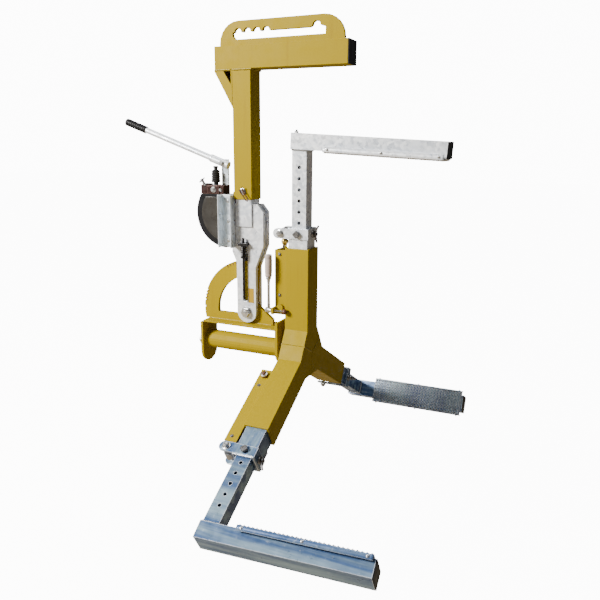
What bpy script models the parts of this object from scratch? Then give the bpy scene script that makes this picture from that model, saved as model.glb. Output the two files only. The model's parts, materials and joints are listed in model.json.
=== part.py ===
"""Three-arm lifting grab that hangs from a crane hook.

Metres, +Z up. The origin is the hook seat in the hook plate. The hub, where the three arms meet, is the
frame that most sizes are given in: X runs along the axle towards the fingers, Z is up.
Each arm is modelled in its own frame: X as before, Y across the arm, Z outwards along it.
"""
import math

import bmesh
import bpy
from mathutils import Matrix, Vector

# ---------------------------------------------------------------- driving dimensions
GAP = 0.0003                      # clearance between touching pieces
HUB = (0.230, 0.0, -1.250)        # hub centre, measured from the hook seat
PIVOT = (-0.236, 0.143)           # tilt pivot, X and Z from the hub

BOX, BOX_WALL, BOX_END = 0.100, 0.008, 0.428        # fixed arm: outer width, wall, outer end
CORNER_START = 0.100              # where the corner webs between two arms begin
TUBE_1, WALL_1 = 0.080, 0.008     # first sliding tube
TUBE_2, WALL_2 = 0.060, 0.005     # second sliding tube
TUBE_1_START, TUBE_2_START = 0.170, 0.330
PIN_RADIUS_AT = 0.4845            # distance of the setting pin from the hub
PITCH = 0.0422                    # pitch of the setting holes
HOLES_IN, HOLES_OUT = 2, 6        # holes inside and outside the pin
COLLAR, COLLAR_HIGH = 0.092, 0.040
SIDES = 12                        # sides of a small hole or bolt

FINGER_W, FINGER_H, FINGER_WALL = 0.080, 0.060, 0.004
FINGER_AT = 0.834                 # distance of the finger's centre line from the hub
FINGER_BACK, FINGER_TIP = -0.032, 0.558
TOE_IN = math.radians(3.0)
PAD_W, PAD_DEEP, PAD_THICK = 0.120, 0.020, 0.003
PAD_FROM, PAD_TO = 0.107, 0.553

RAM_X = -0.074                    # centre line of the hydraulic rams behind the arms
RAM_PIVOT = 0.186
HOUSING_HALF, HOUSING_BACK, HOUSING_START, SHEET = 0.038, -0.100, 0.155, 0.004
CLEVIS_END = -0.104
BOLT = 0.007

AXLE_R, SPINDLE_R = 0.039, 0.0297
CRADLE_BACK, CRADLE_FRONT, CRADLE_PLATE = -0.446, -0.080, 0.012
CRADLE_HALF, CRADLE_TOP = 0.058, 0.086
SECTOR_R, SECTOR_WINDOW_R, SECTOR_HALF = 0.216, 0.148, 0.009
NOTCH_ANGLES = (90, 106, 110, 114, 118, 160, 164, 168, 172, 180)

YOKE_IN, YOKE_OUT = 0.010, 0.028  # inner and outer faces of the yoke plates
PIVOT_BOLT_R, PIVOT_HOLE_R = 0.012, 0.0126
POST_X, POST, POST_WALL = -0.240, 0.080, 0.004
POST_LOW, BEAM_LOW, BEAM_HIGH = 0.608, 1.100, 1.185
BEAM_FROM, BEAM_TO = -0.357, 0.190
YOKE_TUBE, YOKE_TUBE_LOW = 0.070, 0.500
POST_PIN_Z = 0.640
PAWL_X, PAWL_Y, PAWL_GUIDE = -0.240, -0.041, 0.424

LEVER_X, LEVER_Z, LEVER_RISE = -0.349, 0.747, math.radians(19.2)
LEVER_R, LEVER_LONG, GRIP_FROM, GRIP_TO = 0.0120, 0.460, 0.397, 0.502
PISTON_X = -0.387
LOCK_Y, LOCK_Z, LOCK_STEM_X = -0.0625, 0.175, -0.1158

# angle about X, extension of the first tube, end of the ram housing, side that the pins enter from
ARMS = (
    {"number": 1, "angle": 0.0, "extension": 0.0, "housing_end": 0.418, "pin_side": -1},
    {"number": 2, "angle": 120.0, "extension": PITCH, "housing_end": 0.500, "pin_side": 1},
    {"number": 3, "angle": -120.0, "extension": PITCH, "housing_end": 0.500, "pin_side": -1},
)

COLOURS = {
    "yellow_paint": ((0.95, 0.62, 0.02), 0.40, 0.0),
    "galvanised": ((0.62, 0.66, 0.70), 0.42, 0.9),
    "zinc": ((0.72, 0.73, 0.74), 0.35, 1.0),
    "steel": ((0.50, 0.51, 0.52), 0.30, 1.0),
    "black_plastic": ((0.02, 0.02, 0.02), 0.55, 0.0),
    "cast_block": ((0.30, 0.16, 0.11), 0.50, 0.4),
    "grey_plastic": ((0.35, 0.31, 0.28), 0.55, 0.0),
}


# ---------------------------------------------------------------- helpers
def clear_scene():
    for old in list(bpy.data.objects):
        bpy.data.objects.remove(old, do_unlink=True)


def new_collection(name):
    collection = bpy.data.collections.new(name)
    bpy.context.scene.collection.children.link(collection)
    return collection


def material(name):
    found = bpy.data.materials.get(name)
    if found:
        return found
    colour, roughness, metallic = COLOURS[name]
    made = bpy.data.materials.new(name)
    made.use_nodes = True
    shader = made.node_tree.nodes["Principled BSDF"]
    shader.inputs["Base Color"].default_value = (*colour, 1.0)
    shader.inputs["Roughness"].default_value = roughness
    shader.inputs["Metallic"].default_value = metallic
    return made


def axis_empty(name, parent=None, location=(0, 0, 0), rotation=(0, 0, 0)):
    empty = bpy.data.objects.new(name, None)
    parts.objects.link(empty)
    empty.parent = parent
    empty.location = location
    empty.rotation_euler = rotation
    return empty


def place(name, mesh, parent, location=(0, 0, 0), rotation=(0, 0, 0), look=None):
    """Link a mesh as a part when it has a look, and as a hidden cutter when it has none."""
    made = bpy.data.objects.new(name, mesh)
    made.parent = parent
    made.location = location
    made.rotation_euler = rotation
    if look:
        parts.objects.link(made)
        mesh.materials.append(material(look))
    else:
        cutters.objects.link(made)
        made.hide_render = True
        made.display_type = "WIRE"
    return made


def block(name, parent, low, high, look=None):
    size = [b - a for a, b in zip(low, high)]
    middle = [(a + b) / 2 for a, b in zip(low, high)]
    mesh = bpy.data.meshes.new(name)
    shape = bmesh.new()
    bmesh.ops.create_cube(shape, size=1.0, matrix=Matrix.Diagonal((*size, 1.0)))
    shape.to_mesh(mesh)
    shape.free()
    return place(name, mesh, parent, middle, look=look)


def turn_to(axis):
    return {"X": (0, math.pi / 2, 0), "Y": (-math.pi / 2, 0, 0), "Z": (0, 0, 0)}[axis]


def smooth(mesh):
    mesh.shade_smooth()
    mesh.set_sharp_from_angle(angle=math.radians(35))


def rod(name, parent, start, length, radius, axis="Z", sides=24, look=None, end_radius=None):
    """A cylinder, or a cone with end_radius, that runs from start along an axis."""
    mesh = bpy.data.meshes.new(name)
    shape = bmesh.new()
    end = radius if end_radius is None else end_radius
    bmesh.ops.create_cone(shape, cap_ends=True, segments=sides, radius1=radius, radius2=end,
                          depth=length, matrix=Matrix.Translation((0, 0, length / 2)))
    shape.to_mesh(mesh)
    shape.free()
    smooth(mesh)
    return place(name, mesh, parent, start, turn_to(axis), look)


def ball(name, parent, centre, radius, look=None):
    mesh = bpy.data.meshes.new(name)
    shape = bmesh.new()
    bmesh.ops.create_uvsphere(shape, u_segments=16, v_segments=8, radius=radius)
    shape.to_mesh(mesh)
    shape.free()
    smooth(mesh)
    return place(name, mesh, parent, centre, look=look)


def prism(name, parent, outlines, start, end, plane="XZ", look=None):
    """A flat outline, with any holes in it, thickened from start to end across its plane."""
    curve = bpy.data.curves.new(name, "CURVE")
    curve.dimensions = "2D"
    curve.fill_mode = "BOTH"
    curve.extrude = (end - start) / 2
    for outline in outlines:
        spline = curve.splines.new("POLY")
        spline.points.add(len(outline) - 1)
        for point, (u, v) in zip(spline.points, outline):
            point.co = (u, v, 0, 1)
        spline.use_cyclic_u = True
    drawn = bpy.data.objects.new(name + "_outline", curve)
    parts.objects.link(drawn)
    evaluated = drawn.evaluated_get(bpy.context.evaluated_depsgraph_get())
    mesh = bpy.data.meshes.new_from_object(evaluated)
    bpy.data.objects.remove(drawn, do_unlink=True)
    shape = bmesh.new()
    shape.from_mesh(mesh)
    bmesh.ops.remove_doubles(shape, verts=shape.verts, dist=0.00001)
    bmesh.ops.recalc_face_normals(shape, faces=shape.faces)
    shape.to_mesh(mesh)
    shape.free()
    mesh.materials.clear()
    middle = (start + end) / 2
    if plane == "XZ":
        return place(name, mesh, parent, (0, middle, 0), (math.pi / 2, 0, 0), look)
    return place(name, mesh, parent, (middle, 0, 0), (math.pi / 2, 0, math.pi / 2), look)


def combine(target, operation, tool):
    step = target.modifiers.new(tool.name, "BOOLEAN")
    step.operation = operation
    step.solver = "EXACT"
    step.object = tool
    return target


def cut(target, *tools):
    for tool in tools:
        combine(target, "DIFFERENCE", tool)
    return target


def join(target, *tools):
    for tool in tools:
        combine(target, "UNION", tool)
    return target


def arc(centre, radius, start, end, steps):
    """Points on an arc, angles in degrees from the first axis towards the second."""
    points = []
    for step in range(steps + 1):
        angle = math.radians(start + (end - start) * step / steps)
        points.append((centre[0] + radius * math.cos(angle), centre[1] + radius * math.sin(angle)))
    return points


def bolt(name, parent, centre, axis, grip, radius, head, look):
    """A bolt with a hexagon head and nut outside a grip length, centred on a point."""
    height = radius * 1.3
    along = Vector(centre)
    direction = {"X": Vector((1, 0, 0)), "Y": Vector((0, 1, 0)), "Z": Vector((0, 0, 1))}[axis]
    reach = grip / 2 + GAP
    made = rod(name, parent, along - direction * (reach + height / 2), 2 * reach + height, radius, axis,
               SIDES, look)
    for side, end in (("head", -reach - height), ("nut", reach)):
        join(made, rod(f"{name}_{side}", parent, along + direction * end, height, head, axis, 6))
    return made


def square_tube(name, parent, width, wall, start, end, look):
    """A square hollow section along Z, open at both ends."""
    half, hole = width / 2, width / 2 - wall
    made = block(name, parent, (-half, -half, start), (half, half, end), look)
    return cut(made, block(name + "_hollow", parent, (-hole, -hole, start - 0.01), (hole, hole, end + 0.01)))


def plug(name, parent, centre, width, height, wall, face_x):
    """A push-in end cap for a tube whose open end faces +X."""
    cap = block(name, parent, (face_x + GAP, centre[0] - width / 2, centre[1] - height / 2),
                (face_x + 0.004, centre[0] + width / 2, centre[1] + height / 2), "black_plastic")
    tongue_w, tongue_h = width / 2 - wall - GAP, height / 2 - wall - GAP
    return join(cap, block(name + "_tongue", parent, (face_x - 0.022, centre[0] - tongue_w, centre[1] - tongue_h),
                           (face_x + 0.002, centre[0] + tongue_w, centre[1] + tongue_h)))


# ---------------------------------------------------------------- hanger
def hook_plate():
    low, high, left, right, corner = BEAM_HIGH + GAP, 1.277, -0.350, 0.165, 0.080
    outer = [(left, low), (right, low)]
    outer += arc((right - corner, high - corner), corner, 0, 90, 6)
    outer += arc((left + corner, high - corner), corner, 90, 180, 6)
    window = [(-0.280, 1.210), (0.090, 1.210), (0.090, 1.235)]
    window += arc((0.055, 1.240), 0.016, 0, 180, 5)
    window += [(0.030, 1.235)]
    for seat in (-0.150, -0.190, -0.230, -0.270):
        window += arc((seat, 1.235), 0.015, 0, 180, 5)
    window += [(-0.292, 1.235), (-0.292, 1.222)]
    prism("hook_plate", hub, [outer, window], -0.0075, 0.0075, look="yellow_paint")


def beam_and_post():
    half, hole = POST / 2, POST / 2 - POST_WALL
    beam = block("top_beam", hub, (BEAM_FROM, -half, BEAM_LOW), (BEAM_TO, half, BEAM_HIGH), "yellow_paint")
    cut(beam, block("beam_hollow", hub, (BEAM_FROM + POST_WALL, -hole, BEAM_LOW + POST_WALL),
                    (BEAM_TO + 0.01, hole, BEAM_HIGH - POST_WALL)))
    plug("beam_end_plug", hub, (0, (BEAM_LOW + BEAM_HIGH) / 2), POST, BEAM_HIGH - BEAM_LOW, POST_WALL, BEAM_TO)
    post_axis = axis_empty("post_axis", hub, (POST_X, 0, 0))
    post = square_tube("hanger_post", post_axis, POST, POST_WALL, POST_LOW, BEAM_LOW - GAP, "yellow_paint")
    tube = square_tube("yoke_tube", post_axis, YOKE_TUBE, 0.005, YOKE_TUBE_LOW, 0.850, "galvanised")
    for holed in (post, tube):
        cut(holed, rod(holed.name + "_pin_hole", post_axis, (0, -0.06, POST_PIN_Z), 0.12, 0.0063, "Y", SIDES))
    bolt("post_pin", post_axis, (0, 0, POST_PIN_Z), "Y", POST, 0.006, 0.011, "zinc")
    edge = POST_X - half - GAP
    top = BEAM_LOW - GAP
    foot, wall = top - 0.141, 0.004
    outer = [(edge, top), (edge - 0.078, top), (edge - 0.078, top - 0.006), (edge, foot)]
    inside = [(edge - wall, top - wall), (edge - 0.074, top - wall), (edge - wall, foot + 0.015)]
    window = [(edge - 0.006, top - 0.006), (edge - 0.037, top - 0.006), (edge - 0.006, top - 0.054)]
    brace = prism("post_gusset", hub, [outer], -half, half, look="yellow_paint")
    cut(brace, prism("gusset_hollow", hub, [inside], wall - half, half - wall),
        prism("gusset_window", hub, [window], -half - 0.010, 0.020 - half))


def yoke_outline():
    """Narrow round the pivot, wide above it, and notched at the top for the yoke tube."""
    x, z = PIVOT
    slim, left, right, top = 0.044, -0.300, -0.156, 0.590
    tube_left, tube_right = POST_X - YOKE_TUBE / 2 - GAP, POST_X + YOKE_TUBE / 2 + GAP
    outline = arc((x, z), slim, 180, 360, 10)
    outline += [(x + slim, 0.335), (right, 0.424), (right, top - 0.030), (right - 0.025, top)]
    outline += [(tube_right, top), (tube_right, YOKE_TUBE_LOW - GAP), (tube_left, YOKE_TUBE_LOW - GAP)]
    outline += [(tube_left, top), (left + 0.010, top), (left, top - 0.030), (left, 0.395), (x - slim, 0.350)]
    return outline


def yoke():
    x, z = PIVOT
    pivot_hole = arc((x, z), PIVOT_HOLE_R, 0, 345, 23)
    left, right = PAWL_X - 0.011, PAWL_X + 0.011
    slot = [(left, 0.190), (right, 0.190), (right, 0.415), (left, 0.415)]
    prism("yoke_plate_front", hub, [yoke_outline(), pivot_hole, slot], -YOKE_OUT, -YOKE_IN, look="galvanised")
    prism("yoke_plate_rear", hub, [yoke_outline(), pivot_hole], YOKE_IN, YOKE_OUT, look="galvanised")
    block("yoke_spacer", hub, (-0.285, -YOKE_IN + GAP, 0.440), (-0.172, YOKE_IN - GAP, 0.495), "galvanised")
    bolt("pivot_bolt", hub, (x, 0, z), "Y", 2 * YOKE_OUT, PIVOT_BOLT_R, 0.020, "zinc")


def pawl():
    """The locking dog stands just clear of the sector's rim, and lifts against its spring."""
    x, rim, plate = PIVOT[0], PIVOT[1] + SECTOR_R, -YOKE_OUT - GAP
    made = rod("pawl_rod", hub, (PAWL_X, PAWL_Y, 0.200), 0.255, 0.005, sides=SIDES, look="zinc")
    join(made, block("pawl_dog", hub, (x - 0.004, PAWL_Y - 0.004, rim + 0.002), (x + 0.004, 0.008, rim + 0.018)))
    join(made, rod("pawl_collar", hub, (PAWL_X, PAWL_Y, rim + 0.014), 0.006, 0.0118, sides=16))
    guide = block("pawl_guide", hub, (PAWL_X - 0.018, -0.056, PAWL_GUIDE),
                  (PAWL_X + 0.018, plate, PAWL_GUIDE + 0.012), "zinc")
    cut(guide, rod("guide_hole", hub, (PAWL_X, PAWL_Y, PAWL_GUIDE - 0.01), 0.04, 0.0056, sides=SIDES))
    coil(rim + 0.0205, PAWL_GUIDE - 0.0005)


def coil(low, high):
    turns, steps, wire, radius = 5, 10, 0.0013, 0.0103
    low, high = low + wire, high - wire
    curve = bpy.data.curves.new("pawl_spring", "CURVE")
    curve.dimensions = "3D"
    curve.bevel_depth = wire
    curve.bevel_resolution = 1
    curve.use_fill_caps = True
    spline = curve.splines.new("POLY")
    count = turns * steps
    spline.points.add(count)
    for step, point in enumerate(spline.points):
        angle = 2 * math.pi * step / steps
        point.co = (radius * math.cos(angle), radius * math.sin(angle), low + (high - low) * step / count, 1)
    spring = bpy.data.objects.new("pawl_spring", curve)
    parts.objects.link(spring)
    spring.parent = hub
    spring.location = (PAWL_X, PAWL_Y, 0)
    curve.materials.append(material("steel"))


# ---------------------------------------------------------------- hydraulic hand pump
def pump():
    bracket = block("pump_bracket", hub, (-0.3435, -0.066, 0.413), (-0.283, -YOKE_OUT - GAP, 0.625), "zinc")
    cut(bracket, block("bracket_channel", hub, (-0.3395, -0.070, 0.405), (-0.287, -0.0325, 0.633)))
    centre, radius, flat, top = (-0.325, 0.548), 0.138, -0.300 - 2 * GAP, 0.6235
    first = 180 - math.degrees(math.asin((top - centre[1]) / radius))
    last = 270 + math.degrees(math.asin((flat - centre[0]) / radius))
    shape = [(flat, top)] + arc(centre, radius, first, last, 16)
    prism("pump_reservoir", hub, [shape], -YOKE_OUT, 0.040, look="black_plastic")
    base, crown = top + GAP, 0.660
    body = block("pump_block", hub, (-0.444, -0.026, base), (-0.338, 0.030, crown), "cast_block")
    cut(body, rod("piston_bore", hub, (PISTON_X, 0, 0.634), 0.10, 0.0106, sides=16))
    link = block("pump_link", hub, (-0.370, 0.0175, crown + GAP), (-0.338, 0.0255, 0.763), "zinc")
    join(link, rod("lever_pin", hub, (LEVER_X, -0.018, LEVER_Z), 0.040, 0.006, "Y", SIDES))
    piston = rod("pump_piston", hub, (PISTON_X, 0, 0.645), 0.091, 0.010, sides=16, look="steel")
    join(piston, rod("piston_boot", hub, (PISTON_X, 0, 0.670), 0.050, 0.018, sides=16))


def pump_lever():
    axis = axis_empty("lever_axis", hub, (LEVER_X, 0, LEVER_Z), (0, LEVER_RISE, 0))
    tube = rod("pump_lever", axis, (-LEVER_LONG, 0, 0), LEVER_LONG, LEVER_R, "X", 16, "galvanised")
    join(tube, rod("lever_socket", axis, (-0.052, 0, 0), 0.077, 0.0157, "X", 16))
    cut(tube, rod("lever_pin_hole", axis, (0, -0.03, 0), 0.06, 0.0064, "Y", SIDES))
    grip = rod("lever_grip", axis, (-GRIP_TO, 0, 0), GRIP_TO - GRIP_FROM, 0.0155, "X", 16, "black_plastic")
    cut(grip, rod("lever_grip_bore", axis, (-LEVER_LONG - GAP, 0, 0), 0.2, LEVER_R + GAP, "X", 16))


# ---------------------------------------------------------------- tilting cradle
def end_plate(name, back, front, top, bottom_centre, hole):
    outline = [(-CRADLE_HALF, top)] + arc((0, bottom_centre), CRADLE_HALF, 180, 360, 12) + [(CRADLE_HALF, top)]
    prism(name, hub, [outline, arc((0, 0), hole, 0, 345, 23)], back, front, "YZ", "yellow_paint")


def cradle():
    end_plate("cradle_rear_plate", CRADLE_BACK, CRADLE_BACK + CRADLE_PLATE, CRADLE_TOP - GAP, -0.042, 0.0303)
    end_plate("cradle_front_plate", CRADLE_FRONT - CRADLE_PLATE, CRADLE_FRONT, 0.120, -0.002, 0.0303)
    back, front = CRADLE_BACK + CRADLE_PLATE + GAP, CRADLE_FRONT - CRADLE_PLATE - GAP
    tube = rod("axle_tube", hub, (back, 0, 0), front - back, AXLE_R, "X", 24, "yellow_paint")
    cut(tube, rod("axle_bore", hub, (back - 0.01, 0, 0), front - back + 0.02, 0.0303, "X", 24))
    block("cradle_plate", hub, (back, -0.055, CRADLE_TOP), (front, 0.055, CRADLE_TOP + 0.008), "yellow_paint")
    sector()


def sector():
    x, z = PIVOT
    base = CRADLE_TOP + 0.008 + GAP
    foot = 180 + math.degrees(math.asin((z - base) / SECTOR_R))
    outer = [(-0.124, base), (-0.124, 0.119), (-0.199, 0.178), (-0.198, 0.220)]
    outer += arc(PIVOT, SECTOR_R, 77, foot, 30)
    floor = 0.128
    window = arc(PIVOT, SECTOR_WINDOW_R, 180, 100, 12) + [(-0.268, 0.185), (-0.292, floor), (-0.383, floor)]
    hole = arc(PIVOT, PIVOT_HOLE_R, 0, 345, 23)
    made = prism("sector_plate", hub, [outer, window, hole], -SECTOR_HALF, SECTOR_HALF, look="yellow_paint")
    for angle in NOTCH_ANGLES:
        turn = math.radians(angle)
        place_at = (x + SECTOR_R * math.cos(turn), -0.02, z + SECTOR_R * math.sin(turn))
        cut(made, rod(f"notch_{angle}", hub, place_at, 0.04, 0.0045, "Y", 8))


# ---------------------------------------------------------------- rotating spider
def spindle():
    start = -BOX / 2 - GAP
    made = rod("spindle", hub, (-0.470, 0, 0), start + 0.470, SPINDLE_R, "X", 24, "steel")
    join(made, rod("spindle_flange", hub, (start - 0.010, 0, 0), 0.010, 0.048, "X", 24))
    cut(made, rod("spindle_bore", hub, (-0.48, 0, 0), 0.40, 0.010, "X", SIDES))
    nut = rod("spindle_nut", hub, (CRADLE_BACK - 0.020, 0, 0), 0.020 - GAP, 0.042, "X", 6, "zinc")
    cut(nut, rod("spindle_nut_bore", hub, (CRADLE_BACK - 0.03, 0, 0), 0.05, SPINDLE_R + GAP, "X", 24))


def arm_box(number, frame):
    """A box section mitred to its neighbours at the hub, with half of each corner web."""
    half, hole = BOX / 2, BOX / 2 - BOX_WALL
    slant = Vector((math.sin(math.radians(60)), math.cos(math.radians(60))))
    web = slant * slant.dot(Vector((half, CORNER_START)))
    inset = Vector((-slant.y, slant.x)) * GAP / 2
    right = [web + inset, Vector((half, CORNER_START)), Vector((half, BOX_END))]
    left = [Vector((-point.x, point.y)) for point in reversed(right)]
    outline = [Vector((0, GAP / 2 / slant.x))] + right + left
    made = prism(f"arm_box_{number}", frame, [[tuple(p) for p in outline]], -half, half, "YZ", "yellow_paint")
    cut(made, block(f"arm_hollow_{number}", frame, (-hole, -hole, -0.05), (hole, hole, BOX_END + 0.01)))


def ram(arm, frame):
    """A hydraulic ram in a sheet-metal housing on the back of the arm."""
    number, end, reach = arm["number"], arm["housing_end"], arm["extension"]
    half, front = HOUSING_HALF, -BOX / 2 - GAP
    cover = block(f"ram_housing_{number}", frame, (HOUSING_BACK, -half, HOUSING_START), (front, half, end),
                  "yellow_paint")
    if number == 1:
        join(cover, block("lock_tab", frame, (-0.099, -0.078, LOCK_Z - 0.013), (-0.089, -half + 0.002, LOCK_Z + 0.013)))
        cut(cover, rod("lock_tab_hole", frame, (-0.12, LOCK_Y, LOCK_Z), 0.06, 0.0056, "X", SIDES))
    cut(cover, block(f"housing_hollow_{number}", frame, (HOUSING_BACK + SHEET, -half + SHEET, HOUSING_START + SHEET),
                     (front + 0.01, half - SHEET, end + 0.01)))
    cut(cover, rod(f"housing_holes_{number}", frame, (RAM_X, -0.05, RAM_PIVOT), 0.10, 0.0093, "Y", SIDES))
    barrel = rod(f"ram_barrel_{number}", frame, (RAM_X, 0, 0.168), end - 0.032 - 0.168, 0.020, sides=16, look="steel")
    trunnion = 0.0390
    join(barrel, rod(f"trunnion_{number}", frame, (RAM_X, -trunnion, RAM_PIVOT), 2 * trunnion, 0.009, "Y", SIDES))
    for side in (-1, 1):
        cap = rod(f"trunnion_cap_{number}_{side}", frame, (RAM_X, side * half + (GAP if side > 0 else -GAP - 0.010),
                                                           RAM_PIVOT), 0.010, 0.0135, "Y", 16)
        join(barrel, cap)
    cut(barrel, rod(f"barrel_bore_{number}", frame, (RAM_X, 0, 0.205), 0.35, 0.0120, sides=16))
    piston = rod(f"ram_rod_{number}", frame, (RAM_X, 0, 0.250 + reach), PIN_RADIUS_AT - 0.250, 0.009, sides=16,
                 look="zinc")
    join(piston, rod(f"ram_piston_{number}", frame, (RAM_X, 0, 0.250 + reach), 0.015, 0.0117, sides=16))
    join(piston, rod(f"rod_nut_{number}", frame, (RAM_X, 0, 0.446 + reach), 0.013, 0.017, sides=6))
    join(piston, rod(f"rod_eye_{number}", frame, (RAM_X, -0.016, PIN_RADIUS_AT + reach), 0.032, 0.019, "Y", 16))
    cut(piston, rod(f"eye_hole_{number}", frame, (RAM_X, -0.03, PIN_RADIUS_AT + reach), 0.06, BOLT + GAP, "Y", SIDES))


def lock_lever():
    axis = axis_empty("lock_axis", arm_frames[1], (0, LOCK_Y, LOCK_Z))
    made = rod("lock_lever", axis, (-0.128, 0, 0), 0.083, 0.005, "X", SIDES, "zinc")
    join(made, rod("lock_boss", axis, (-0.128, 0, 0), 0.025, 0.011, "X", 6))
    join(made, rod("lock_stem", axis, (LOCK_STEM_X, 0, 0), 0.215, 0.006, "Z", SIDES))
    join(made, rod("lock_ring", axis, (LOCK_STEM_X, 0, 0.130), 0.006, 0.0105, "Z", 16))
    join(made, ball("lock_ball", axis, (-0.045, 0, 0), 0.0108))
    grip = rod("lock_grip", axis, (LOCK_STEM_X, 0, 0.1365), 0.090, 0.0148, "Z", 16, "grey_plastic")
    cut(grip, rod("lock_grip_bore", axis, (LOCK_STEM_X, 0, 0.13), 0.0855, 0.0063, "Z", SIDES))


# ---------------------------------------------------------------- sliding arms
def first_tube(arm, frame):
    number, reach, side = arm["number"], arm["extension"], arm["pin_side"]
    half, top = COLLAR / 2, PIN_RADIUS_AT + COLLAR_HIGH / 2 + reach
    low, pin_z = top - COLLAR_HIGH, PIN_RADIUS_AT + reach
    made = block(f"inner_tube_{number}", frame, (-TUBE_1 / 2, -TUBE_1 / 2, TUBE_1_START + reach),
                 (TUBE_1 / 2, TUBE_1 / 2, top), "galvanised")
    join(made, block(f"collar_{number}", frame, (-half, -half, low), (half, half, top)))
    round_r = COLLAR_HIGH / 2
    ear = [(-0.040, low), (-0.040, top)] + arc((CLEVIS_END + round_r, pin_z), round_r, 90, 270, 8)
    join(made, prism(f"clevis_{number}", frame, [ear], -half, half))
    cut(made, block(f"clevis_gap_{number}", frame, (-0.12, -0.040, low - 0.01), (-TUBE_1 / 2 - 0.003, 0.040, top + 0.01)))
    hole = TUBE_1 / 2 - WALL_1
    cut(made, block(f"tube_hollow_{number}", frame, (-hole, -hole, 0.1), (hole, hole, 0.8)))
    cut(made, rod(f"clevis_hole_{number}", frame, (RAM_X, -0.06, pin_z), 0.12, BOLT + GAP, "Y", SIDES))
    cut(made, rod(f"pin_hole_{number}", frame, (0, -0.06, pin_z), 0.12, BOLT + GAP, "Y", SIDES))
    bolt(f"clevis_bolt_{number}", frame, (RAM_X, 0, pin_z), "Y", COLLAR, BOLT, 0.0125, "zinc")
    pin_tip, head = hole + 0.0005, half + GAP
    start = pin_tip if side > 0 else -head - 0.009
    pin = rod(f"setting_pin_{number}", frame, (0, start, pin_z), head + 0.009 - pin_tip, BOLT, "Y", SIDES, "zinc")
    join(pin, rod(f"pin_head_{number}", frame, (0, head if side > 0 else -head - 0.009, pin_z), 0.009, 0.0125, "Y", 6))


def finger(arm, frame):
    number = arm["number"]
    half, wall = TUBE_2 / 2, TUBE_2 / 2 - WALL_2
    toe = axis_empty(f"finger_axis_{number}", frame, (0, 0, FINGER_AT), (0, TOE_IN, 0))
    tube = block(f"finger_{number}", frame, (-half, -half, TUBE_2_START), (half, half, FINGER_AT - FINGER_H / 2 + 0.0025),
                 "galvanised")
    w, h = FINGER_W / 2, FINGER_H / 2
    join(tube, block(f"finger_bar_{number}", toe, (FINGER_BACK, -w, -h), (FINGER_TIP, w, h)))
    cut(tube, block(f"finger_hollow_{number}", toe, (FINGER_BACK + FINGER_WALL, -w + FINGER_WALL, -h + FINGER_WALL),
                    (FINGER_TIP + 0.01, w - FINGER_WALL, h - FINGER_WALL)))
    cut(tube, block(f"outer_hollow_{number}", frame, (-wall, -wall, 0.3), (wall, wall, FINGER_AT - h - 0.006)))
    for index in range(-HOLES_IN, HOLES_OUT + 1):
        height = PIN_RADIUS_AT + index * PITCH
        cut(tube, rod(f"setting_hole_{number}_{index + HOLES_IN}", frame, (0, -0.05, height), 0.10, BOLT, "Y", 10))
    plate = PAD_W / 2
    pad = block(f"grip_pad_{number}", toe, (PAD_FROM, -plate, -h - GAP - PAD_THICK),
                (PAD_TO, plate, -h - GAP - PAD_THICK + PAD_DEEP), "galvanised")
    cut(pad, block(f"pad_channel_{number}", toe, (PAD_FROM - 0.01, -plate + PAD_THICK, -h - GAP),
                   (PAD_TO + 0.01, plate - PAD_THICK, 0)))
    plug(f"finger_plug_{number}", toe, (0, 0), FINGER_W, FINGER_H, FINGER_WALL, FINGER_TIP)


# ---------------------------------------------------------------- build
clear_scene()
parts = new_collection("three_arm_lifting_grab")
cutters = new_collection("cutters")
hub = axis_empty("hub_centre", location=HUB)
arm_frames = {}
for arm in ARMS:
    arm_frames[arm["number"]] = axis_empty(f"arm_axis_{arm['number']}", hub,
                                           rotation=(math.radians(arm["angle"]), 0, 0))
bpy.context.view_layer.update()

hook_plate()
beam_and_post()
yoke()
pawl()
pump()
pump_lever()
cradle()
spindle()
for arm in ARMS:
    frame = arm_frames[arm["number"]]
    arm_box(arm["number"], frame)
    ram(arm, frame)
    first_tube(arm, frame)
    finger(arm, frame)
lock_lever()
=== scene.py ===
import json
import math

import bmesh
import bpy
from mathutils import Matrix, Vector


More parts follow.
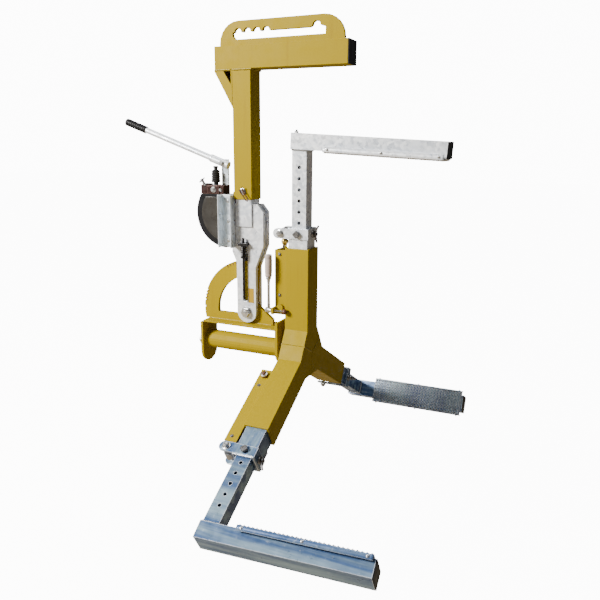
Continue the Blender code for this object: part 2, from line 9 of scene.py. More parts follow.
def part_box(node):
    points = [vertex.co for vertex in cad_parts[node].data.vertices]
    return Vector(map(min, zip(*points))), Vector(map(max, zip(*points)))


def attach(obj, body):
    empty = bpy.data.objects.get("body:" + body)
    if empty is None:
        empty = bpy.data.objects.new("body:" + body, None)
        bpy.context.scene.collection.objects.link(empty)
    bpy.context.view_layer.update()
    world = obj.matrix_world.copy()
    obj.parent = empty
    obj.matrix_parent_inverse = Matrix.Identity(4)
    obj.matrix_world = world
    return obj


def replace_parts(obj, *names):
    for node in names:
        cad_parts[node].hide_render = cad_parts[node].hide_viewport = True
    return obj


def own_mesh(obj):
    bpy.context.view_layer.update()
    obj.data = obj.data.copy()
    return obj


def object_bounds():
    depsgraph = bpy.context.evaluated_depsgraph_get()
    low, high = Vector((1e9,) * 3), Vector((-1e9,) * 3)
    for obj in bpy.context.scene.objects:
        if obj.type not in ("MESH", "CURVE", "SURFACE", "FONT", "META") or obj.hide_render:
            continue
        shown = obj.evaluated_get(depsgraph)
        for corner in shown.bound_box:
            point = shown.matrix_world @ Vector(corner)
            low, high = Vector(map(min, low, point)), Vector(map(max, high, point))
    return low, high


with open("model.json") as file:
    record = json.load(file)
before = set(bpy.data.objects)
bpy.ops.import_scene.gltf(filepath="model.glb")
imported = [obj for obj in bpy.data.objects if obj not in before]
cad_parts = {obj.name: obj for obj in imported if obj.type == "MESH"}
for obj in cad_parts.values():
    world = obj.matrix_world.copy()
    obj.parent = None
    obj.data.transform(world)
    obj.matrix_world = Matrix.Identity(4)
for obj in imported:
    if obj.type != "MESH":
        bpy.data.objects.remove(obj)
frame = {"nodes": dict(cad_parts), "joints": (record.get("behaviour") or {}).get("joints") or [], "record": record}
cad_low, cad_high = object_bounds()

# ------------------------------------------------------------------ places, read from the frame
JOINTS = {joint["name"]: joint for joint in frame["joints"]}
SLOT_OF = {part["node"]: part["material_slot"] for part in frame["record"]["subparts"]}
HUB = Vector(JOINTS["spider_turn"]["pos_m"])
PIVOT = Vector(JOINTS["cradle_tilt"]["pos_m"])
LEVER = Vector(JOINTS["pump_stroke"]["pos_m"])
ARM_NUMBERS = (1, 2, 3)
LOCK = Vector(JOINTS["lock_turn"]["pos_m"])
LEVER_RISE = math.radians(19.2)
TOE_IN = math.radians(3)
FINGER_AT = 0.834                 # centre line of a finger, out from the hub
RAM_X = -0.074                    # centre line of a ram, behind the arm
PIN_AT = 0.4845                   # setting pins, out from the hub, on an arm that isn't run out
PITCH = 0.0422                    # pitch of the setting holes
EXTENSION = {1: 0.0, 2: PITCH, 3: PITCH}
PIN_SIDE = {1: -1, 2: 1, 3: -1}
GAP = 0.0003
COLLAR = 0.046                    # half the width of the collar on a first tube
RAM_PIVOT, TRUNNION_END = 0.186, 0.0484
HOUSING_END = {1: 0.400, 2: 0.478, 3: 0.478}
BARREL_END = {1: 0.386, 2: 0.468, 3: 0.468}
SECTOR_SKIN = 0.0092              # half the quadrant's thickness, with the painted notch shade standing a little proud
BEAM_SEAM = 1.0985                # height of the weld beads under the beam, above the hub
YOKE_SKIN = -0.0290               # just in front of the front yoke plate
LOCK_BEHIND_HUB = 0.080           # where the locking lever's joint stands
THREAD_PITCH = 0.0015


def arm_turn(number):
    axis = Vector(JOINTS[f"ram_stroke_{number}"]["axis"])
    return math.atan2(-axis.y, axis.z)


ARM = {n: Matrix.Translation(HUB) @ Matrix.Rotation(arm_turn(n), 4, "X") for n in ARM_NUMBERS}
FINGER = {n: ARM[n] @ Matrix.Translation((0, 0, FINGER_AT)) @ Matrix.Rotation(TOE_IN, 4, "Y")
          for n in ARM_NUMBERS}
HUB_FRAME = Matrix.Translation(HUB)
LEVER_FRAME = Matrix.Translation(LEVER) @ Matrix.Rotation(LEVER_RISE, 4, "Y")


# ------------------------------------------------------------------ node helpers
class Surface:
    """A material with short ways to add the usual texture nodes."""

    def __init__(self, name, roughness=0.5, metallic=0.0):
        self.material = bpy.data.materials.new(name)
        self.material.use_nodes = True
        self.tree = self.material.node_tree
        self.shader = self.tree.nodes["Principled BSDF"]
        self.set("Roughness", roughness)
        self.set("Metallic", metallic)
        self.place = self.add("ShaderNodeTexCoord").outputs["Object"]

    def add(self, kind, **settings):
        node = self.tree.nodes.new(kind)
        for name, value in settings.items():
            setattr(node, name, value)
        return node

    def join(self, source, target):
        self.tree.links.new(source, target)

    def feed(self, socket, value):
        if hasattr(value, "is_output"):
            self.join(value, socket)
        else:
            socket.default_value = value

    def set(self, name, value):
        self.feed(self.shader.inputs[name], value)

    def stretched(self, scale):
        mapping = self.add("ShaderNodeMapping")
        self.join(self.place, mapping.inputs["Vector"])
        mapping.inputs["Scale"].default_value = scale
        return mapping.outputs["Vector"]

    def noise(self, scale, detail=4.0, rough=0.5, where=None):
        node = self.add("ShaderNodeTexNoise")
        self.join(where or self.place, node.inputs["Vector"])
        node.inputs["Scale"].default_value = scale
        node.inputs["Detail"].default_value = detail
        node.inputs["Roughness"].default_value = rough
        return node.outputs["Fac"]

    def cells(self, scale):
        node = self.add("ShaderNodeTexVoronoi", feature="F1")
        self.join(self.place, node.inputs["Vector"])
        node.inputs["Scale"].default_value = scale
        return node.outputs["Color"]

    def ramp(self, value, low, high, to_low=0.0, to_high=1.0):
        node = self.add("ShaderNodeMapRange")
        self.join(value, node.inputs["Value"])
        for name, number in (("From Min", low), ("From Max", high), ("To Min", to_low), ("To Max", to_high)):
            node.inputs[name].default_value = number
        return node.outputs["Result"]

    def math(self, operation, a, b):
        node = self.add("ShaderNodeMath", operation=operation)
        self.feed(node.inputs[0], a)
        self.feed(node.inputs[1], b)
        return node.outputs[0]

    def mix(self, factor, a, b):
        node = self.add("ShaderNodeMix", data_type="RGBA")
        self.feed(node.inputs[0], factor)
        self.feed(node.inputs[6], (*a, 1.0) if isinstance(a, tuple) else a)
        self.feed(node.inputs[7], (*b, 1.0) if isinstance(b, tuple) else b)
        return node.outputs[2]

    def bump(self, height, strength, distance):
        node = self.add("ShaderNodeBump")
        node.inputs["Strength"].default_value = strength
        node.inputs["Distance"].default_value = distance
        self.join(height, node.inputs["Height"])
        self.join(node.outputs["Normal"], self.shader.inputs["Normal"])

    def edges(self, radius):
        """1 along sharp outer edges and 0 on flat faces."""
        bevel = self.add("ShaderNodeBevel", samples=4)
        bevel.inputs["Radius"].default_value = radius
        flat = self.add("ShaderNodeNewGeometry")
        dot = self.add("ShaderNodeVectorMath", operation="DOT_PRODUCT")
        self.join(bevel.outputs["Normal"], dot.inputs[0])
        self.join(flat.outputs["Normal"], dot.inputs[1])
        return self.ramp(dot.outputs["Value"], 0.99, 0.85)


# ------------------------------------------------------------------ materials
def yellow_paint():
    s = Surface("yellow_paint")
    tone = s.mix(s.noise(3.0), (0.36, 0.262, 0.0), (0.33, 0.225, 0.0))
    streaks = s.noise(1.0, 6.0, 0.6, s.stretched((60, 60, 5)))
    dirty = s.mix(s.ramp(streaks, 0.56, 0.80, 0.0, 0.35), tone, (0.22, 0.125, 0.003))
    chips = s.math("MULTIPLY", s.edges(0.003), s.ramp(s.noise(70.0, 6.0, 0.65), 0.50, 0.56))
    s.set("Base Color", s.mix(chips, dirty, (0.20, 0.17, 0.13)))
    s.set("Roughness", s.ramp(s.noise(25.0), 0.3, 0.7, 0.42, 0.58))
    s.set("Specular IOR Level", 0.10)
    s.bump(s.noise(260.0, 2.0), 0.10, 0.0006)
    return s.material


def galvanised(name, grain, dark=(0.70, 0.75, 0.82), light=(0.92, 0.94, 0.96), metallic=0.38):
    """Hot-dip zinc: grain is the number of spangles in a metre."""
    s = Surface(name, metallic=metallic)
    split = s.add("ShaderNodeSeparateColor")
    s.join(s.cells(grain), split.inputs["Color"])
    spangle = split.outputs["Red"]
    tone = s.mix(spangle, dark, light)
    bloom = s.ramp(s.noise(9.0, 8.0, 0.65), 0.46, 0.66, 0.0, 0.75)
    tone = s.mix(bloom, tone, tuple(min(0.97, c * 1.06) for c in light))
    stain = s.ramp(s.noise(34.0, 8.0, 0.72), 0.57, 0.74, 0.0, 0.50)
    s.set("Base Color", s.mix(stain, tone, (0.30, 0.33, 0.39)))
    s.set("Roughness", s.ramp(s.math("ADD", spangle, s.noise(40.0)), 0.4, 1.5, 0.26, 0.52))
    s.bump(s.noise(120.0, 5.0, 0.6), 0.16, 0.0008)
    return s.material


def zinc_with_painted_reflection(name, lengthwise):
    """Zinc with a painted blue-grey sky reflection in long streaks, and painted highlights on its bright edges.
    lengthwise is the streaks' scale.
    """
    s = Surface(name, metallic=0.30)
    # painted reflection: the blue-grey streaks and clouds stand for the sky mirrored in the zinc
    streaks = s.ramp(s.noise(1.0, 4.0, 0.55, s.stretched(lengthwise)), 0.42, 0.64)
    tone = s.mix(streaks, (0.050, 0.105, 0.235), (0.270, 0.385, 0.455))
    cloud = s.ramp(s.noise(7.0, 6.0, 0.6), 0.50, 0.68, 0.0, 0.45)
    tone = s.mix(cloud, tone, (0.090, 0.145, 0.230))
    fleck = s.ramp(s.noise(55.0, 6.0, 0.7), 0.60, 0.72, 0.0, 0.5)
    tone = s.mix(fleck, tone, (0.62, 0.68, 0.72))
    # painted highlight: the edges are lightened almost to white
    s.set("Base Color", s.mix(s.edges(0.004), tone, (0.90, 0.93, 0.96)))
    s.set("Roughness", s.ramp(s.noise(40.0), 0.3, 0.7, 0.26, 0.46))
    s.bump(s.noise(120.0, 5.0, 0.6), 0.16, 0.0008)
    return s.material


def plated(name, light, dark, roughness):
    s = Surface(name, metallic=1.0)
    s.set("Base Color", s.mix(s.noise(60.0, 5.0), light, dark))
    s.set("Roughness", s.ramp(s.noise(110.0, 6.0, 0.6), 0.3, 0.7, roughness - 0.10, roughness + 0.14))
    s.bump(s.noise(400.0, 3.0), 0.12, 0.0004)
    return s.material


def moulded(name, light, dark, roughness, grain=700.0, shine=0.5):
    s = Surface(name)
    s.set("Specular IOR Level", shine)
    worn = s.math("MULTIPLY", s.edges(0.002), s.ramp(s.noise(90.0, 5.0), 0.45, 0.60))
    base = s.mix(s.noise(18.0, 6.0, 0.6), dark, light)
    pale = tuple(min(1.0, c * 2.2 + 0.03) for c in light)
    s.set("Base Color", s.mix(worn, base, pale))
    s.set("Roughness", s.ramp(s.noise(35.0), 0.3, 0.7, roughness - 0.08, roughness + 0.12))
    s.bump(s.noise(grain, 2.0), 0.25, 0.0004)
    return s.material


def rough_cast():
    s = Surface("cast_block", metallic=0.25)
    tone = s.mix(s.noise(22.0, 7.0, 0.65), (0.018, 0.006, 0.005), (0.045, 0.016, 0.013))
    # painted highlight: the edges of the dark cast block are lightened to pale pink
    s.set("Base Color", s.mix(s.edges(0.003), tone, (0.42, 0.26, 0.22)))
    s.set("Specular IOR Level", 0.30)
    s.set("Roughness", s.ramp(s.noise(50.0), 0.3, 0.7, 0.30, 0.50))
    s.bump(s.noise(240.0, 6.0, 0.7), 0.45, 0.0010)
    return s.material


def weld_metal(name, colour, metallic):
    s = Surface(name, metallic=metallic)
    dark = tuple(c * 0.72 for c in colour)
    s.set("Base Color", s.mix(s.noise(140.0, 4.0), dark, colour))
    s.set("Roughness", s.ramp(s.noise(80.0), 0.3, 0.7, 0.30, 0.48))
    s.bump(s.noise(500.0, 4.0), 0.3, 0.0006)
    return s.material


def plain_label():
    s = Surface("label", roughness=0.35)
    s.set("Base Color", s.mix(s.noise(30.0, 5.0), (0.48, 0.30, 0.01), (0.40, 0.23, 0.01)))
    s.bump(s.noise(90.0), 0.08, 0.0005)
    return s.material


MATERIALS = {
    "yellow_paint": yellow_paint(),
    "galvanised": galvanised("galvanised", 95.0),
    "zinc": plated("zinc", (0.74, 0.74, 0.72), (0.52, 0.53, 0.54), 0.30),
    "steel": plated("steel", (0.52, 0.52, 0.52), (0.34, 0.34, 0.35), 0.34),
    "chrome_rod": plated("chrome_rod", (0.80, 0.81, 0.83), (0.70, 0.71, 0.73), 0.14),
    "dark_zinc": plated("dark_zinc", (0.30, 0.29, 0.28), (0.15, 0.15, 0.155), 0.36),
    "brass_nut": plated("brass_nut", (0.80, 0.60, 0.16), (0.58, 0.40, 0.10), 0.30),
    "brown_steel": moulded("brown_steel", (0.13, 0.050, 0.022), (0.07, 0.026, 0.014), 0.34, 300.0),
    "cast_block": rough_cast(),
    "black_plastic": moulded("black_plastic", (0.014, 0.014, 0.015), (0.007, 0.007, 0.008), 0.42, shine=0.12),
    "grey_plastic": moulded("grey_plastic", (0.60, 0.50, 0.44), (0.42, 0.33, 0.28), 0.45),
    "rubber_boot": moulded("rubber_boot", (0.030, 0.029, 0.028), (0.010, 0.010, 0.010), 0.55, shine=0.15),
    "yellow_weld": weld_metal("yellow_weld", (0.38, 0.275, 0.003), 0.0),
    "zinc_weld": weld_metal("zinc_weld", (0.66, 0.70, 0.75), 0.85),
    "label": plain_label(),
    "galvanised_plate": galvanised("galvanised_plate", 140.0),
    "tank_face": moulded("tank_face", (0.055, 0.050, 0.042), (0.020, 0.019, 0.018), 0.30, 90.0, 0.25),
    # painted reflection: these three zinc looks carry a painted blue-grey sky reflection and painted bright edges
    "finger_zinc_painted_reflection": zinc_with_painted_reflection("finger_zinc_painted_reflection", (1.5, 26.0, 26.0)),
    "tube_zinc_painted_reflection": zinc_with_painted_reflection("tube_zinc_painted_reflection", (30.0, 6.0, 6.0)),
    "plank_zinc_painted_reflection": zinc_with_painted_reflection("plank_zinc_painted_reflection", (7.0, 2.0, 2.0)),
    "bright_galvanised": galvanised("bright_galvanised", 60.0, (0.58, 0.66, 0.72), (0.80, 0.86, 0.90), 0.40),
    "black_steel": plated("black_steel", (0.075, 0.075, 0.078), (0.030, 0.030, 0.032), 0.34),
}


# ------------------------------------------------------------------ mesh helpers
def finish_piece(name, shape, matrix, look, body, sharp=35, bevel=0.0):
    """Turn a bmesh in a local frame into a piece that rides on a body."""
    bmesh.ops.remove_doubles(shape, verts=shape.verts, dist=0.000002)
    bmesh.ops.recalc_face_normals(shape, faces=shape.faces)
    mesh = bpy.data.meshes.new(name)
    shape.to_mesh(mesh)
    shape.free()
    mesh.shade_smooth()
    mesh.set_sharp_from_angle(angle=math.radians(sharp))
    mesh.materials.append(MATERIALS[look])
    piece = bpy.data.objects.new(name, mesh)
    bpy.context.scene.collection.objects.link(piece)
    piece.matrix_world = matrix
    if bevel:
        rounding = piece.modifiers.new("rounding", "BEVEL")
        rounding.width = bevel
        rounding.segments = 2
        rounding.limit_method = "ANGLE"
        rounding.angle_limit = math.radians(40)
    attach(piece, body)
    return piece


def aim(axis):
    """Turns local Z to point along an axis of the frame."""
    return {"X": Matrix.Rotation(math.pi / 2, 4, "Y"), "-X": Matrix.Rotation(-math.pi / 2, 4, "Y"),
            "Y": Matrix.Rotation(-math.pi / 2, 4, "X"), "-Y": Matrix.Rotation(math.pi / 2, 4, "X")}[axis]


def add_lathe(shape, profile, sides=32, matrix=None, flats=None):
    """Adds a turned form to a bmesh: profile is (radius, height) from one end on the axis to the other.
    flats gives a number of flat sides instead of a round section."""
    sides = flats or sides
    rings = []
    for radius, height in profile:
        if radius < 1e-7:
            rings.append([shape.verts.new((0, 0, height))])
        else:
            rings.append([shape.verts.new((radius * math.cos(2 * math.pi * i / sides),
                                           radius * math.sin(2 * math.pi * i / sides), height))
                          for i in range(sides)])
    for low, high in zip(rings, rings[1:]):
        for i in range(sides):
            j = (i + 1) % sides
            ends = [low[i % len(low)], low[j % len(low)], high[j % len(high)], high[i % len(high)]]
            corners = list(dict.fromkeys(ends))
            if len(corners) > 2:
                shape.faces.new(corners)
    if matrix:
        made = [v for ring in rings for v in ring]
        bmesh.ops.transform(shape, matrix=matrix, verts=made)


def lathe(name, profile, matrix, look, body, sides=32, sharp=35):
    shape = bmesh.new()
    add_lathe(shape, profile, sides)
    return finish_piece(name, shape, matrix, look, body, sharp)


def add_box(shape, low, high, matrix=None):
    size = Vector(high) - Vector(low)
    middle = (Vector(high) + Vector(low)) / 2
    place = Matrix.Translation(middle) @ Matrix.Diagonal((*size, 1))
    bmesh.ops.create_cube(shape, size=1, matrix=(matrix or Matrix.Identity(4)) @ place)


def add_tube(shape, points, radius, sides=10, ripple=None):
    """Adds a closed tube along points. ripple(step) scales the radius at each point."""
    rings = []
    count = len(points)
    side = None
    for step, point in enumerate(points):
        ahead = points[min(step + 1, count - 1)] - points[max(step - 1, 0)]
        ahead.normalize()
        if side is None:
            side = ahead.orthogonal().normalized()
        side = (side - ahead * side.dot(ahead)).normalized()
        other = ahead.cross(side)
        size = radius * (ripple(step) if ripple else 1.0)
        rings.append([shape.verts.new(point + (side * math.cos(2 * math.pi * i / sides)
                                               + other * math.sin(2 * math.pi * i / sides)) * size)
                      for i in range(sides)])
    for low, high in zip(rings, rings[1:]):
        for i in range(sides):
            j = (i + 1) % sides
            shape.faces.new((low[i], low[j], high[j], high[i]))
    shape.faces.new(list(reversed(rings[0])))
    shape.faces.new(rings[-1])


def along(corners, spacing):
    """Evenly spaced points along straight runs between corners."""
    points = []
    for a, b in zip(corners, corners[1:]):
        a, b = Vector(a), Vector(b)
        steps = max(1, round((b - a).length / spacing))
        points += [a.lerp(b, i / steps) for i in range(steps)]
    points.append(Vector(corners[-1]))
    return points


def weld(name, runs, matrix, body, radius=0.0035, look="yellow_weld", slot="yellow_paint"):
    """Weld beads with a rippled surface along runs of corner points."""
    shape = bmesh.new()
    spacing = 0.0022
    for run in runs:
        points = along(run, spacing)
        last = len(points) - 1

        def ripple(step):
            taper = min(1.0, 0.45 + min(step, last - step) * 0.25)
            return taper * (1.0 + 0.16 * math.sin(step * 1.9) + 0.07 * math.sin(step * 0.37 + len(points)))

        add_tube(shape, points, radius, 8, ripple)
    return finish_piece(name, shape, matrix, look, body, 60)


# ------------------------------------------------------------------ CAD nodes: materials and rounded edges
TUBE_CORNER, PLATE_EDGE, FINE_EDGE = 0.0060, 0.0018, 0.0008
ROUNDING = {
    "top_beam": TUBE_CORNER, "hanger_post": TUBE_CORNER, "yoke_tube": TUBE_CORNER,
    "beam_end_plug": FINE_EDGE, "pump_block": PLATE_EDGE, "yoke_spacer": PLATE_EDGE,
}
for number in ARM_NUMBERS:
    ROUNDING[f"arm_box_{number}"] = PLATE_EDGE
    ROUNDING[f"finger_{number}"] = PLATE_EDGE
    ROUNDING[f"inner_tube_{number}"] = PLATE_EDGE

# Nodes whose look differs from that of their material slot.
LOOK = {"pump_bracket": "bright_galvanised", "pump_link": "bright_galvanised", "pawl_guide": "black_steel",
        "pawl_rod": "black_steel", "spindle_nut": "dark_zinc", "ram_barrel_1": "yellow_paint"}
# the second and third arms' tubes and fingers get zinc with a painted sky reflection
for number in (2, 3):
    LOOK[f"inner_tube_{number}"] = "tube_zinc_painted_reflection"
    LOOK[f"finger_{number}"] = "finger_zinc_painted_reflection"


def dress(node):
    """Gives a CAD node its material, flat faces and rounded edges."""
    piece = frame["nodes"][node]
    piece.data.materials.clear()
    piece.data.materials.append(MATERIALS[LOOK.get(node, SLOT_OF[node])])
    for polygon in piece.data.polygons:
        polygon.material_index = 0
    weld_step = piece.modifiers.new("weld", "WELD")
    weld_step.merge_threshold = 0.00001
    flat = piece.modifiers.new("flat", "DECIMATE")
    flat.decimate_type = "DISSOLVE"
    flat.angle_limit = math.radians(1)
    rounding = piece.modifiers.new("rounding", "BEVEL")
    rounding.width = ROUNDING.get(node, 0.0012)
    rounding.segments = 3 if ROUNDING.get(node, 0) > 0.003 else 2
    rounding.limit_method = "ANGLE"
    rounding.angle_limit = math.radians(40)
    rounding.harden_normals = True


for node_name in sorted(frame["nodes"]):
    dress(node_name)


# ------------------------------------------------------------------ fasteners
def shift(x, y, z):
    return Matrix.Translation((x, y, z))


def add_hex(shape, radius, height, matrix):
    """A hexagon with its outer corners chamfered."""
    profile = [(0, 0), (radius, 0), (radius, height * 0.80), (radius * 0.86, height), (0, height)]
    add_lathe(shape, profile, matrix=matrix, flats=6)


def thread(radius, start, length):
    """Profile of a threaded end: a ridge in every pitch, then a chamfer."""
    profile = []
    for turn in range(max(2, round(length / THREAD_PITCH))):
        height = start + turn * THREAD_PITCH
        profile += [(radius * 0.88, height), (radius, height + THREAD_PITCH / 2)]
    return profile + [(radius * 0.80, start + length), (0, start + length)]


def hex_bolt(node, matrix, grip, radius, head, body):
    """Replaces a plain bolt along local Y: washers, chamfered head, nut with a collar, and a threaded end."""
    shape = bmesh.new()
    reach, height, washer = grip / 2 + GAP, radius * 1.3, 0.0018
    shank = radius * 0.97
    start = -reach - washer
    add_lathe(shape, [(0, start), (shank, start), (shank, reach), (0, reach)], 20, aim("Y"))
    for side, way in ((-1, "-Y"), (1, "Y")):
        out = shift(0, side * reach, 0) @ aim(way)
        rim = head * 1.22
        add_lathe(shape, [(0, 0), (rim, 0), (rim, washer * 0.8), (head * 1.16, washer), (0, washer)], 28, out)
        add_hex(shape, head, height, out @ shift(0, 0, washer))
    nut = shift(0, reach + washer, 0) @ aim("Y")
    add_lathe(shape, [(0, height), (head * 0.74, height), (head * 0.70, height + 0.002), (0, height + 0.002)],
              24, nut)
    add_lathe(shape, [(0, height)] + thread(radius * 0.95, height, 0.0055), 18, nut)
    mark = shift(0, -reach - washer - height, 0) @ aim("-Y")
    add_lathe(shape, [(0, 0), (head * 0.55, 0), (head * 0.48, 0.0006), (0, 0.0006)], 20, mark)
    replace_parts(finish_piece(node + "_bolt", shape, matrix, "zinc", body, sharp=30), node)


def screw_head(shape, radius, matrix):
    """A low domed head on a washer."""
    add_lathe(shape, [(0, 0), (radius * 1.35, 0), (radius * 1.35, 0.0010), (radius, 0.0012), (radius, 0.0028),
                      (radius * 0.75, 0.0046), (radius * 0.35, 0.0052), (0, 0.0052)], 20, matrix)


def add_knob(shape, radius, height, lobes, matrix):
    """A star knob: a disc with a wavy rim and rounded edges."""
    count = lobes * 8
    rings = []
    for grow, level in ((0.90, 0.0), (1.0, 0.18), (1.0, 0.75), (0.88, 1.0), (0.45, 1.0), (0.40, 0.86)):
        ring = []
        for step in range(count):
            angle = 2 * math.pi * step / count
            wave = 1 - 0.20 * (1 - math.cos(lobes * angle)) / 2 * (1 if grow > 0.5 else 0)
            ring.append(shape.verts.new((radius * grow * wave * math.cos(angle),
                                         radius * grow * wave * math.sin(angle), height * level)))
        rings.append(ring)
    for low, high in zip(rings, rings[1:]):
        for step in range(count):
            after = (step + 1) % count
            shape.faces.new((low[step], low[after], high[after], high[step]))
    shape.faces.new(list(reversed(rings[0])))
    shape.faces.new(rings[-1])
    bmesh.ops.transform(shape, matrix=matrix, verts=[v for ring in rings for v in ring])


def fasteners():
    """The cross pin, the pivot bolt, and the bolt, pin and screw of each arm's collar."""
    low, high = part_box("post_pin")
    hex_bolt("post_pin", shift(*((low + high) / 2)), 0.080, 0.006, 0.011, "hanger")
    hex_bolt("pivot_bolt", shift(*PIVOT), 0.056, 0.012, 0.020, "hanger")
    for n in ARM_NUMBERS:
        height = PIN_AT + EXTENSION[n]
        hex_bolt(f"clevis_bolt_{n}", ARM[n] @ shift(RAM_X, 0, height), 0.092, 0.007, 0.0125, f"slide_{n}")
        setting_pin(n, height)
        clamp_screw(n, height)


def setting_pin(n, height):
    """The pin that holds a second tube, with a star knob to pull it by and a locking collar."""
    side = PIN_SIDE[n]
    shape = bmesh.new()
    out = shift(0, side * (COLLAR + GAP), 0) @ aim("Y" if side > 0 else "-Y")
    add_lathe(shape, [(0, -0.013), (0.005, -0.013), (0.0068, -0.011), (0.0068, 0.004), (0, 0.004)], 20, out)
    add_lathe(shape, [(0, 0), (0.0105, 0), (0.0105, 0.0035), (0.0095, 0.0042), (0, 0.0042)], 24, out)
    add_knob(shape, 0.0150, 0.009, 4, out @ shift(0, 0, 0.0042))
    place = ARM[n] @ shift(0, 0, height)
    piece = finish_piece(f"setting_pin_{n}_knob", shape, place, "dark_zinc", f"slide_{n}", 40)
    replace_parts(piece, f"setting_pin_{n}")


def clamp_screw(n, height):
    """A bent-wing screw on the front of the collar, which takes up the play of the second tube."""
    place = ARM[n] @ shift(COLLAR, 0, height)
    shape = bmesh.new()
    add_lathe(shape, [(0, 0), (0.0145, 0), (0.0140, 0.005), (0.0120, 0.0075), (0, 0.0075)], 24, aim("X"))
    add_lathe(shape, [(0, 0.0075)] + thread(0.0055, 0.0075, 0.013), 18, aim("X"))
    add_hex(shape, 0.0105, 0.006, shift(0.0120, 0, 0) @ aim("X"))
    wing = [Vector(p) for p in ((0.017, 0.002, -0.034), (0.0145, 0.002, -0.022), (0.0135, 0, -0.010),
                                (0.0135, 0, 0), (0.0145, 0, 0.010), (0.0185, -0.002, 0.022),
                                (0.026, -0.003, 0.033))]
    add_tube(shape, wing, 0.0046, 12, lambda step: 0.85 if step in (0, 6) else 1.0)
    finish_piece(f"clamp_screw_{n}", shape, place, "dark_zinc", f"slide_{n}", 40)


# ------------------------------------------------------------------ rams
def ram_end(n):
    """Polished rod with its piston, a brass ball nut, and a forged eye on the clevis bolt."""
    place = ARM[n] @ shift(RAM_X, 0, EXTENSION[n])
    body = f"slide_{n}"
    rod = lathe(f"ram_rod_{n}_polished", [(0, 0.250), (0.0114, 0.2505), (0.0117, 0.252), (0.0117, 0.263),
                                          (0.0090, 0.2652), (0.0090, 0.463), (0, 0.463)],
                place, "chrome_rod", body)
    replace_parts(rod, f"ram_rod_{n}")
    size, middle = (0.0145, 0.4470) if n == 1 else (0.0112, 0.4556)
    ball = [(0.0091, middle - size)]
    for step in range(1, 12):
        angle = math.pi * step / 12
        ball.append((max(0.0091, size * math.sin(angle)), middle - size * math.cos(angle)))
    lathe(f"ball_nut_{n}", ball + [(0.0091, middle + size)], place, "brass_nut", body)
    shape = bmesh.new()
    add_lathe(shape, [(0.0076, -0.016), (0.0172, -0.016), (0.0188, -0.0145), (0.0190, 0), (0.0188, 0.0145),
                      (0.0172, 0.016), (0.0076, 0.016), (0.0076, -0.016)], 32, shift(0, 0, PIN_AT) @ aim("Y"))
    add_lathe(shape, [(0, 0.4625), (0.0100, 0.4625), (0.0108, 0.466), (0.0108, 0.468), (0, 0.468)], 24)
    finish_piece(f"rod_eye_{n}", shape, place, "steel", body)


def ram_gland(n):
    """The threaded gland ring on the open end of a barrel, with spanner slots."""
    end = BARREL_END[n]
    shape = bmesh.new()
    add_lathe(shape, [(0.0122, end), (0.0122, end + 0.0005), (0.0170, end + 0.0006), (0.0212, end - 0.001),
                      (0.0214, end - 0.003), (0.0214, end - 0.014), (0.0204, end - 0.016),
                      (0.0201, end - 0.016)], 32)
    for quarter in range(4):
        turn = Matrix.Rotation(quarter * math.pi / 2 + math.pi / 4, 4, "Z")
        add_box(shape, (0.0195, -0.0025, end - 0.0125), (0.0222, 0.0025, end - 0.0045), turn)
    finish_piece(f"gland_{n}", shape, ARM[n] @ shift(RAM_X, 0, 0), "brown_steel", "spider")


def housing_screws(n):
    """Button screws that hold a ram housing, on both of its sides."""
    shape = bmesh.new()
    for side, way in ((-1, "-Y"), (1, "Y")):
        for height in (0.235, HOUSING_END[n]):
            screw_head(shape, 0.0052, shift(-0.078, side * 0.0381, height) @ aim(way))
    finish_piece(f"housing_screws_{n}", shape, ARM[n], "dark_zinc", "spider")


def trunnion_nuts(n):
    """A zinc nut with a round brown cap on each end of a ram's trunnion."""
    shape = bmesh.new()
    caps = bmesh.new()
    for side, way in ((-1, "-Y"), (1, "Y")):
        out = shift(RAM_X, side * TRUNNION_END, RAM_PIVOT) @ aim(way)
        add_hex(shape, 0.0150, 0.0045, out)
        add_lathe(caps, [(0, 0.0045), (0.0085, 0.0045), (0.0090, 0.0060), (0.0078, 0.0095), (0.0045, 0.0120),
                         (0, 0.0128)], 24, out)
    finish_piece(f"trunnion_nuts_{n}", shape, ARM[n], "zinc", "spider")
    finish_piece(f"trunnion_caps_{n}", caps, ARM[n], "brown_steel", "spider")


